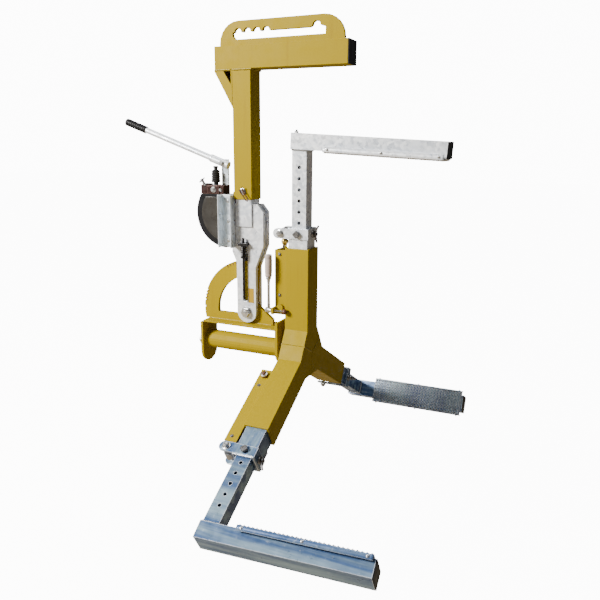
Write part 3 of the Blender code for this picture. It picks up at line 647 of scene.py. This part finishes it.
# ------------------------------------------------------------------ serrated planks
def plank(n):
    """A folded channel of perforated plate: each hole has a raised, toothed rim towards the load."""
    half, start, end, face, deep = 0.060, 0.107, 0.553, -0.0333, 0.020
    across, lengthwise = 8, 30
    plate, hole, rim = 0.0026, 0.0061, 0.0050
    tall, short = 0.0050, 0.0020
    step_x, step_y = (end - start) / lengthwise, (2 * half - 0.006) / across
    shape = bmesh.new()
    found = {}

    def corner(x, y, z):
        key = (round(x, 6), round(y, 6), round(z, 6))
        if key not in found:
            found[key] = shape.verts.new((x, y, z))
        return found[key]

    for i in range(lengthwise):
        for j in range(across):
            middle_x, middle_y = start + (i + 0.5) * step_x, -half + 0.003 + (j + 0.5) * step_y
            outer, inner, crest = [], [], []
            for k in range(8):
                angle = math.pi / 4 * k
                u, v = math.cos(angle), math.sin(angle)
                reach = 1 / max(abs(u), abs(v))
                outer.append(corner(middle_x + u * reach * step_x / 2,
                                    middle_y + v * reach * step_y / 2, face))
                inner.append(shape.verts.new((middle_x + u * hole, middle_y + v * hole, face)))
                tooth = tall if k % 2 == 0 else short
                crest.append(shape.verts.new((middle_x + u * rim, middle_y + v * rim, face - tooth)))
            for k in range(8):
                after = (k + 1) % 8
                shape.faces.new((outer[k], outer[after], inner[after], inner[k]))
                shape.faces.new((inner[k], inner[after], crest[after], crest[k]))
    for side in (-1, 1):
        fold = [(half - 0.003, 0.0), (half - 0.0009, 0.0009), (half, 0.003), (half, deep)]
        for i in range(2 * lengthwise):
            x, after = start + i * step_x / 2, start + (i + 1) * step_x / 2
            for (y0, z0), (y1, z1) in zip(fold, fold[1:]):
                shape.faces.new((corner(x, side * y0, face + z0), corner(after, side * y0, face + z0),
                                 corner(after, side * y1, face + z1), corner(x, side * y1, face + z1)))
    # the second and third planks get zinc with a painted sky reflection
    look = {1: "galvanised_plate", 2: "finger_zinc_painted_reflection", 3: "plank_zinc_painted_reflection"}[n]
    piece = finish_piece(f"serrated_plank_{n}", shape, FINGER[n], look, f"arm_{n}", 40)
    thicken = piece.modifiers.new("plate", "SOLIDIFY")
    thicken.thickness = plate
    thicken.offset = -1
    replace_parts(piece, f"grip_pad_{n}")

    # painted shade: a black sheet inside the channel, behind the holes, stands for the shaded inside of the
    # channel
    shape = bmesh.new()
    for side in (-1, 1):
        near, far = sorted((side * 0.0306, side * 0.0570))
        add_box(shape, (start + 0.003, near, -0.0290), (end - 0.003, far, -0.0270))
    finish_piece(f"plank_shade_sheet_{n}", shape, FINGER[n], "black_steel", f"arm_{n}", bevel=0.0004)


def finger_screws(n):
    """Small screws that fix the plank to its finger, and on the first arm one on top at the back."""
    shape = bmesh.new()
    for side, way in ((-1, "-Y"), (1, "Y")):
        for x in (0.125, 0.330, 0.535):
            screw_head(shape, 0.0040, shift(x, side * 0.0600, -0.0225) @ aim(way))
    if n == 1:
        add_hex(shape, 0.0085, 0.006, shift(-0.018, -0.020, 0.0300))
        add_lathe(shape, [(0, 0)] + thread(0.0045, 0.006, 0.006), 16, shift(-0.018, -0.020, 0.0300))
    finish_piece(f"finger_screws_{n}", shape, FINGER[n], "zinc", f"arm_{n}")


# ------------------------------------------------------------------ pump
def pump_details():
    boot = [(0, 0.645), (0.0100, 0.645), (0.0100, 0.6695), (0.0165, 0.6700), (0.0180, 0.6712),
            (0.0180, 0.6740)]
    folds = 6
    for fold in range(folds):
        low = 0.6745 + fold * 0.0072
        swell = 0.0192 - fold * 0.0003
        boot += [(swell - 0.0028, low), (swell - 0.0004, low + 0.0024), (swell, low + 0.0036),
                 (swell - 0.0004, low + 0.0048)]
    boot += [(0.0120, 0.7190), (0.0095, 0.7205), (0.0078, 0.7210), (0.0078, 0.7275), (0.0100, 0.7285),
             (0.0104, 0.7300), (0.0104, 0.7340), (0.0088, 0.7357), (0, 0.7360)]
    piston_x = (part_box("pump_piston")[0].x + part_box("pump_piston")[1].x) / 2
    place = Matrix.Translation((piston_x, 0, HUB.z))
    piece = lathe("bellows_boot", boot, place, "rubber_boot", "piston", sides=36, sharp=50)
    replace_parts(piece, "pump_piston")

    shape = bmesh.new()
    add_lathe(shape, [(0.0107, 0.6598), (0.0186, 0.6598), (0.0186, 0.6608), (0.0176, 0.6615),
                      (0.0107, 0.6615), (0.0107, 0.6598)], 32, shift(piston_x - HUB.x, 0, 0))
    add_lathe(shape, [(0, 0), (0.0125, 0), (0.0125, 0.004), (0.0105, 0.006), (0, 0.006)], 28,
              shift(-0.383, -0.026, 0.642) @ aim("-Y"))
    add_hex(shape, 0.0086, 0.005, shift(-0.383, -0.0320, 0.642) @ aim("-Y"))
    add_hex(shape, 0.0070, 0.005, shift(-0.350, -0.0260, 0.6415) @ aim("-Y"))
    add_hex(shape, 0.0070, 0.006, shift(-0.444, 0.006, 0.643) @ aim("-X"))
    add_hex(shape, 0.0060, 0.005, shift(-0.430, -0.012, 0.660))
    finish_piece("pump_plugs", shape, HUB_FRAME, "zinc", "hanger")

    shape = bmesh.new()
    stem = Matrix.Translation((-0.424, -0.020, 0.656)) @ Matrix.Rotation(math.radians(-38), 4, "Y")
    add_lathe(shape, [(0, 0), (0.0085, 0), (0.0085, 0.006), (0.0050, 0.008), (0.0050, 0.022), (0.0070, 0.024),
                      (0.0070, 0.031), (0.0055, 0.033), (0, 0.033)], 24, stem)
    add_tube(shape, [stem @ Vector(p) for p in ((-0.015, 0, 0.029), (-0.006, 0, 0.0275), (0.006, 0, 0.0275),
                                                (0.015, 0, 0.029))], 0.0028, 10)
    finish_piece("release_valve", shape, HUB_FRAME, "dark_zinc", "hanger")

    shape = bmesh.new()
    add_box(shape, (-0.412, -0.0300, 0.6255), (-0.356, -0.0262, 0.6570))
    add_box(shape, (-0.4445, -0.0150, 0.6600), (-0.412, 0.0200, 0.6650))
    finish_piece("block_bosses", shape, HUB_FRAME, "cast_block", "hanger", bevel=0.0018)


def tank_details():
    """A pressed face inside the tank's rim, a seam round the shell, and the bracket's bolts."""
    centre, radius = (-0.325, 0.548), 0.138

    def outline(inset, right):
        size = radius - inset
        top = 0.6235 - inset * 0.45
        first = math.pi - math.asin(min(1, (top - centre[1]) / size))
        last = 1.5 * math.pi + math.asin((right - centre[0]) / size)
        curve = [(centre[0] + size * math.cos(first + (last - first) * k / 40),
                  centre[1] + size * math.sin(first + (last - first) * k / 40)) for k in range(41)]
        return [(right, top)] + curve

    shape = bmesh.new()
    rings = []
    for inset, depth in ((0.0225, -0.0280), (0.0235, -0.0300), (0.0255, -0.0306), (0.0330, -0.0296)):
        rings.append([shape.verts.new((u, depth, v)) for u, v in outline(inset, -0.3450)])
    for low, high in zip(rings, rings[1:]):
        for k in range(len(low)):
            after = (k + 1) % len(low)
            shape.faces.new((low[k], low[after], high[after], high[k]))
    shape.faces.new(rings[-1])
    finish_piece("tank_face", shape, HUB_FRAME, "tank_face", "hanger")

    shape = bmesh.new()
    for depth in (-0.0262, 0.0378):
        rim = [Vector((u, depth, v)) for u, v in outline(-0.0006, -0.3010)[1:-3]]
        add_tube(shape, rim, 0.0017, 8)
    finish_piece("tank_rims", shape, HUB_FRAME, "black_plastic", "hanger")

    shape = bmesh.new()
    for height in (0.440, 0.520, 0.600):
        screw_head(shape, 0.0062, shift(-0.313, -0.0325, height) @ aim("-Y"))
    for height in (0.455, 0.585):
        screw_head(shape, 0.0050, shift(-0.3435, -0.049, height) @ aim("-X"))
    finish_piece("bracket_bolts", shape, HUB_FRAME, "zinc", "hanger")


def lever_details():
    grip = [(0.0123, 0.397), (0.0150, 0.397), (0.0155, 0.3985)]
    for groove in range(9):
        start = 0.4055 + groove * 0.0098
        grip += [(0.0155, start), (0.0138, start + 0.0012), (0.0138, start + 0.0028),
                 (0.0155, start + 0.0040)]
    grip += [(0.0155, 0.4995), (0.0142, 0.5015), (0.0115, 0.502), (0, 0.502)]
    place = LEVER_FRAME @ aim("-X")
    piece = lathe("ribbed_lever_grip", grip, place, "black_plastic", "lever", sides=32, sharp=50)
    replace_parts(piece, "lever_grip")
    shape = bmesh.new()
    washer, head = shift(0, -0.0180, 0) @ aim("-Y"), shift(0, -0.0192, 0) @ aim("-Y")
    add_lathe(shape, [(0, 0), (0.0105, 0), (0.0105, 0.0012), (0, 0.0012)], 28, washer)
    add_lathe(shape, [(0, 0), (0.0075, 0), (0.0075, 0.003), (0.0060, 0.0042), (0, 0.0042)], 24, head)
    finish_piece("lever_pin_head", shape, Matrix.Translation(LEVER), "zinc", "hanger")
    ferrule = [(0.0120, 0.050), (0.0157, 0.051), (0.0160, 0.054), (0.0157, 0.060), (0.0121, 0.068)]
    lathe("lever_ferrule", ferrule, place, "galvanised", "lever")


# ------------------------------------------------------------------ locking lever
def lock_details():
    stem_x = -0.1158
    base = Matrix.Translation(LOCK + Vector((LOCK_BEHIND_HUB, 0, 0)))
    grip = [(0.0066, 0.1365), (0.0122, 0.1365), (0.0136, 0.1385), (0.0142, 0.146), (0.0134, 0.1475),
            (0.0134, 0.1490), (0.0145, 0.1505), (0.0148, 0.178), (0.0148, 0.206), (0.0140, 0.2080),
            (0.0140, 0.2095), (0.0146, 0.2110), (0.0143, 0.2200), (0.0128, 0.2250), (0.0090, 0.2265),
            (0, 0.2265)]
    place = base @ shift(stem_x, 0, 0)
    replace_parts(lathe("turned_lock_grip", grip, place, "grey_plastic", "lock", sides=36), "lock_grip")

    shape = bmesh.new()
    add_lathe(shape, [(0, -0.009), (0.0070, -0.009), (0.0080, -0.005), (0.0062, 0.012), (0.0056, 0.060),
                      (0.0058, 0.110), (0.0072, 0.124), (0.0100, 0.127), (0.0109, 0.130), (0.0109, 0.133),
                      (0.0098, 0.1362), (0.0062, 0.1363), (0.0062, 0.200), (0, 0.200)], 28,
              shift(stem_x, 0, 0))
    screw = shift(-0.128, 0, 0) @ aim("X")
    add_hex(shape, 0.0112, 0.013, screw)
    add_lathe(shape, [(0, 0.013), (0.0128, 0.013), (0.0128, 0.0152), (0.0100, 0.0165), (0.0100, 0.0245),
                      (0, 0.0245)], 28, screw)
    add_lathe(shape, [(0, 0.0245)] + thread(0.0050, 0.0245, 0.052), 18, screw)
    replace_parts(finish_piece("turned_lock_lever", shape, base, "zinc", "lock"), "lock_lever")

    size = 0.0110
    ball = []
    for step in range(17):
        angle = math.pi * step / 16
        ball.append((size * math.sin(angle), -size * math.cos(angle)))
    lathe("lock_ball", ball, base @ shift(-0.045, 0, 0) @ aim("X"), "brown_steel", "lock")


# ------------------------------------------------------------------ welds
def loop(half_x, half_y, height, tilt=0.0):
    """A closed run round a square tube. tilt lets the height change with X."""
    corners = [(-half_x, -half_y), (half_x, -half_y), (half_x, half_y), (-half_x, half_y), (-half_x, -half_y)]
    return [(x, y, height - x * tilt) for x, y in corners]


def ring(radius, x):
    return [(x, radius * math.cos(math.pi * k / 18), radius * math.sin(math.pi * k / 18)) for k in range(37)]


def arm_welds(n):
    reach = EXTENSION[n]
    top = PIN_AT + reach + 0.020
    silver = {"look": "zinc_weld", "slot": "galvanised"}
    weld(f"collar_weld_{n}", [loop(0.0405, 0.0405, top)], ARM[n], f"slide_{n}", 0.0030, **silver)
    weld(f"finger_weld_{n}", [loop(0.0305, 0.0305, FINGER_AT - 0.0318, math.tan(TOE_IN))], ARM[n], f"arm_{n}",
         0.0042, **silver)
    seam = []
    for side in (-1, 1):
        for x, away in ((0.0500, 1), (-0.0500, -1)):
            y, z = side * math.sin(math.radians(60)), math.cos(math.radians(60))
            seam.append([(x, y * 0.010, z * 0.010), (x, y * 0.0925, z * 0.0925)])
    if n != 3:
        weld(f"hub_weld_{n}", seam if n == 1 else seam[:2], ARM[n], "spider", 0.0026)
    front = -0.0505
    foot = [(front, -0.0380, 0.156), (front, 0.0380, 0.156)]
    far = 0.410 if n == 1 else 0.420
    tops = [[(front, side * 0.0385, 0.160), (front, side * 0.0385, far)] for side in (-1, 1)]
    weld(f"housing_weld_{n}", [foot] + tops, ARM[n], "spider", 0.0026)


def hanger_welds():
    post = (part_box("hanger_post")[0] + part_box("hanger_post")[1]) / 2 - HUB
    runs = [[(post.x + x, y, z) for x, y, z in loop(0.0405, 0.0405, BEAM_SEAM)]]
    weld("post_weld", runs, HUB_FRAME, "hanger", 0.0038)
    edge = post.x - 0.0405
    gusset = [[(edge - 0.003, side * 0.0402, BEAM_SEAM), (edge - 0.076, side * 0.0402, BEAM_SEAM)]
              for side in (-1, 1)]
    weld("gusset_weld", gusset, HUB_FRAME, "hanger", 0.0032)
    plate = [[(-0.348, side * 0.0082, 1.1860), (0.163, side * 0.0082, 1.1860)] for side in (-1, 1)]
    weld("hook_plate_weld", plate, HUB_FRAME, "hanger", 0.0036)
    silver = {"look": "zinc_weld", "slot": "galvanised"}
    tube = []
    for side in (-1, 1):
        for x in (post.x - 0.0356, post.x + 0.0356):
            tube.append([(x, side * 0.0275, 0.502), (x, side * 0.0275, 0.588)])
        tube.append([(post.x - 0.0350, side * 0.0290, 0.4990), (post.x + 0.0350, side * 0.0290, 0.4990)])
    weld("yoke_weld", tube, HUB_FRAME, "hanger", 0.0030, **silver)
    guide = [[(-0.257, YOKE_SKIN, 0.437), (-0.223, YOKE_SKIN, 0.437)]]
    weld("guide_weld", guide, HUB_FRAME, "hanger", 0.0020, **silver)


def cradle_welds():
    weld("axle_weld", [ring(0.0400, -0.0935), ring(0.0400, -0.4325)], HUB_FRAME, "cradle", 0.0036)
    base = 0.0952
    sector = [[(-0.428, side * 0.0095, base), (-0.128, side * 0.0095, base)] for side in (-1, 1)]
    weld("sector_weld", sector, HUB_FRAME, "cradle", 0.0034)
    x, z = -0.0930, 0.0950         # the corner between the flat plate and the front end plate
    ends = [[(x, low, z), (x, high, z)] for low, high in ((-0.054, -0.012), (0.012, 0.054))]
    weld("cradle_weld", ends, HUB_FRAME, "cradle", 0.0030)


# ------------------------------------------------------------------ small pieces
def pawl_spring():
    """A round-wire spring with closed ends, which rides whole on the pawl."""
    low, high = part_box("pawl_spring")
    wire, turns, steps, radius = 0.0022, 6.5, 16, 0.0100
    middle = (low + high) / 2
    count = round(turns * steps)
    points = []
    for step in range(count + 1):
        share = step / count
        rise = min(1.0, max(0.0, (share - 0.08) / 0.84))
        angle = 2 * math.pi * step / steps
        points.append(Vector((radius * math.cos(angle), radius * math.sin(angle),
                              low.z + wire + (high.z - low.z - 2 * wire) * (0.03 * share + 0.97 * rise))))
    shape = bmesh.new()
    add_tube(shape, points, wire, 10)
    place = shift(middle.x, middle.y, 0)
    piece = finish_piece("wound_pawl_spring", shape, place, "black_steel", "pawl", 60)
    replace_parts(piece, "pawl_spring")
    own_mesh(piece)


def small_pieces():
    shape = bmesh.new()
    add_box(shape, (-0.2262, YOKE_SKIN, 0.186), (-0.2015, YOKE_SKIN + 0.0008, 0.247))
    finish_piece("plain_sticker", shape, HUB_FRAME, "label", "hanger", bevel=0.0003)

    pin = (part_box("post_pin")[0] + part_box("post_pin")[1]) / 2
    shape = bmesh.new()
    clip = [Vector(p) for p in ((0.004, -0.0530, 0.020), (0.005, -0.0530, 0.006), (0.008, -0.0530, 0.000),
                                (0.016, -0.0530, -0.010), (0.026, -0.0530, -0.022), (0.031, -0.0530, -0.030),
                                (0.028, -0.0530, -0.036), (0.021, -0.0530, -0.034), (0.010, -0.0530, -0.019),
                                (-0.003, -0.0530, -0.003), (-0.009, -0.0530, 0.006))]
    add_tube(shape, clip, 0.0024, 10)
    finish_piece("spring_clip", shape, shift(pin.x, 0, pin.z), "brown_steel", "hanger", 60)

    # painted shade: dark brown marks through the quadrant at each notch, proud of both faces, stand for the shade
    # in the notches
    shape = bmesh.new()
    for degrees in (90, 106, 110, 114, 118, 160, 164, 168, 172):
        turn = Matrix.Translation(PIVOT - HUB) @ Matrix.Rotation(-math.radians(degrees), 4, "Y")
        add_box(shape, (0.2020, -SECTOR_SKIN, -0.0021), (0.2122, SECTOR_SKIN, 0.0021), turn)
    finish_piece("notch_shade_marks", shape, HUB_FRAME, "brown_steel", "cradle")

    shape = bmesh.new()
    screw_head(shape, 0.0060, shift(-0.1975, -0.0090, 0.3270) @ aim("-Y"))
    finish_piece("sector_screw", shape, HUB_FRAME, "zinc", "cradle")

    shape = bmesh.new()
    add_box(shape, (-0.300, -0.012, 0.6270), (-0.2803, 0.012, 0.6360))
    add_box(shape, (-0.300, -0.012, 0.6090), (-0.2900, 0.012, 0.6270))
    finish_piece("post_stop", shape, HUB_FRAME, "yellow_paint", "hanger", bevel=0.0015)


fasteners()
for number in ARM_NUMBERS:
    ram_end(number)
    ram_gland(number)
    housing_screws(number)
    if number != 1:
        trunnion_nuts(number)
    plank(number)
    finger_screws(number)
    arm_welds(number)
pump_details()
tank_details()
lever_details()
lock_details()
hanger_welds()
cradle_welds()
pawl_spring()
small_pieces()


# ------------------------------------------------------------------ camera, floor and light
def camera():
    """The view of the photograph: a standing person's eye, to the right of the fingers' side."""
    data = bpy.data.cameras.new("camera")
    data.sensor_width = 36.0
    data.lens = 38.02
    view = bpy.data.objects.new("camera", data)
    bpy.context.scene.collection.objects.link(view)
    forward = Vector((-0.3988, 0.8863, -0.2354))
    roll = math.radians(0.395)
    view.rotation_mode = "QUATERNION"
    view.location = HUB + Vector((1.0116, -2.2618, 0.8146))
    turned = Matrix.Rotation(roll, 3, "Z").to_quaternion()
    view.rotation_quaternion = forward.to_track_quat("-Z", "Y") @ turned
    bpy.context.scene.camera = view


def area_light(name, place, size, power, colour, target):
    data = bpy.data.lights.new(name, "AREA")
    data.shape = "DISK"
    data.size = size
    data.energy = power
    data.color = colour
    light = bpy.data.objects.new(name, data)
    bpy.context.scene.collection.objects.link(light)
    light.location = place
    light.rotation_mode = "QUATERNION"
    light.rotation_quaternion = (Vector(target) - Vector(place)).to_track_quat("-Z", "Y")


BACKDROP, FILL = 12.0, 0.14        # brightness of the white backdrop, and of the light that it sheds


def by_camera_ray(tree, other, seen):
    """A number that is one value where the camera looks and another where light bounces."""
    path = tree.nodes.new("ShaderNodeLightPath")
    level = tree.nodes.new("ShaderNodeMapRange")
    tree.links.new(path.outputs["Is Camera Ray"], level.inputs["Value"])
    level.inputs["To Min"].default_value = other
    level.inputs["To Max"].default_value = seen
    return level.outputs["Result"]


def studio():
    shape = bmesh.new()
    bmesh.ops.create_grid(shape, x_segments=1, y_segments=1, size=30.0)
    mesh = bpy.data.meshes.new("floor")
    shape.to_mesh(mesh)
    shape.free()
    floor = bpy.data.objects.new("floor", mesh)
    bpy.context.scene.collection.objects.link(floor)
    floor.location = (0, 0, cad_low.z - 0.35)
    surface = Surface("floor", roughness=0.9)
    surface.set("Base Color", (0.36, 0.30, 0.22, 1.0))
    surface.set("Emission Color", (1.0, 1.0, 1.0, 1.0))
    surface.set("Emission Strength", by_camera_ray(surface.tree, 0.0, BACKDROP))
    mesh.materials.append(surface.material)
    world = bpy.data.worlds.new("studio")
    world.use_nodes = True
    bpy.context.scene.world = world
    background = world.node_tree.nodes["Background"]
    background.inputs["Color"].default_value = (1.0, 1.0, 1.0, 1.0)
    strength = by_camera_ray(world.node_tree, FILL, BACKDROP + 0.4)
    world.node_tree.links.new(strength, background.inputs["Strength"])
    middle = (0.2, 0.0, -0.9)
    area_light("key", (-3.3, -3.9, 1.9), 1.8, 900, (1.0, 0.985, 0.96), middle)
    area_light("top", (-0.5, 0.5, 3.6), 2.4, 90, (0.93, 0.96, 1.0), middle)


camera()
studio()
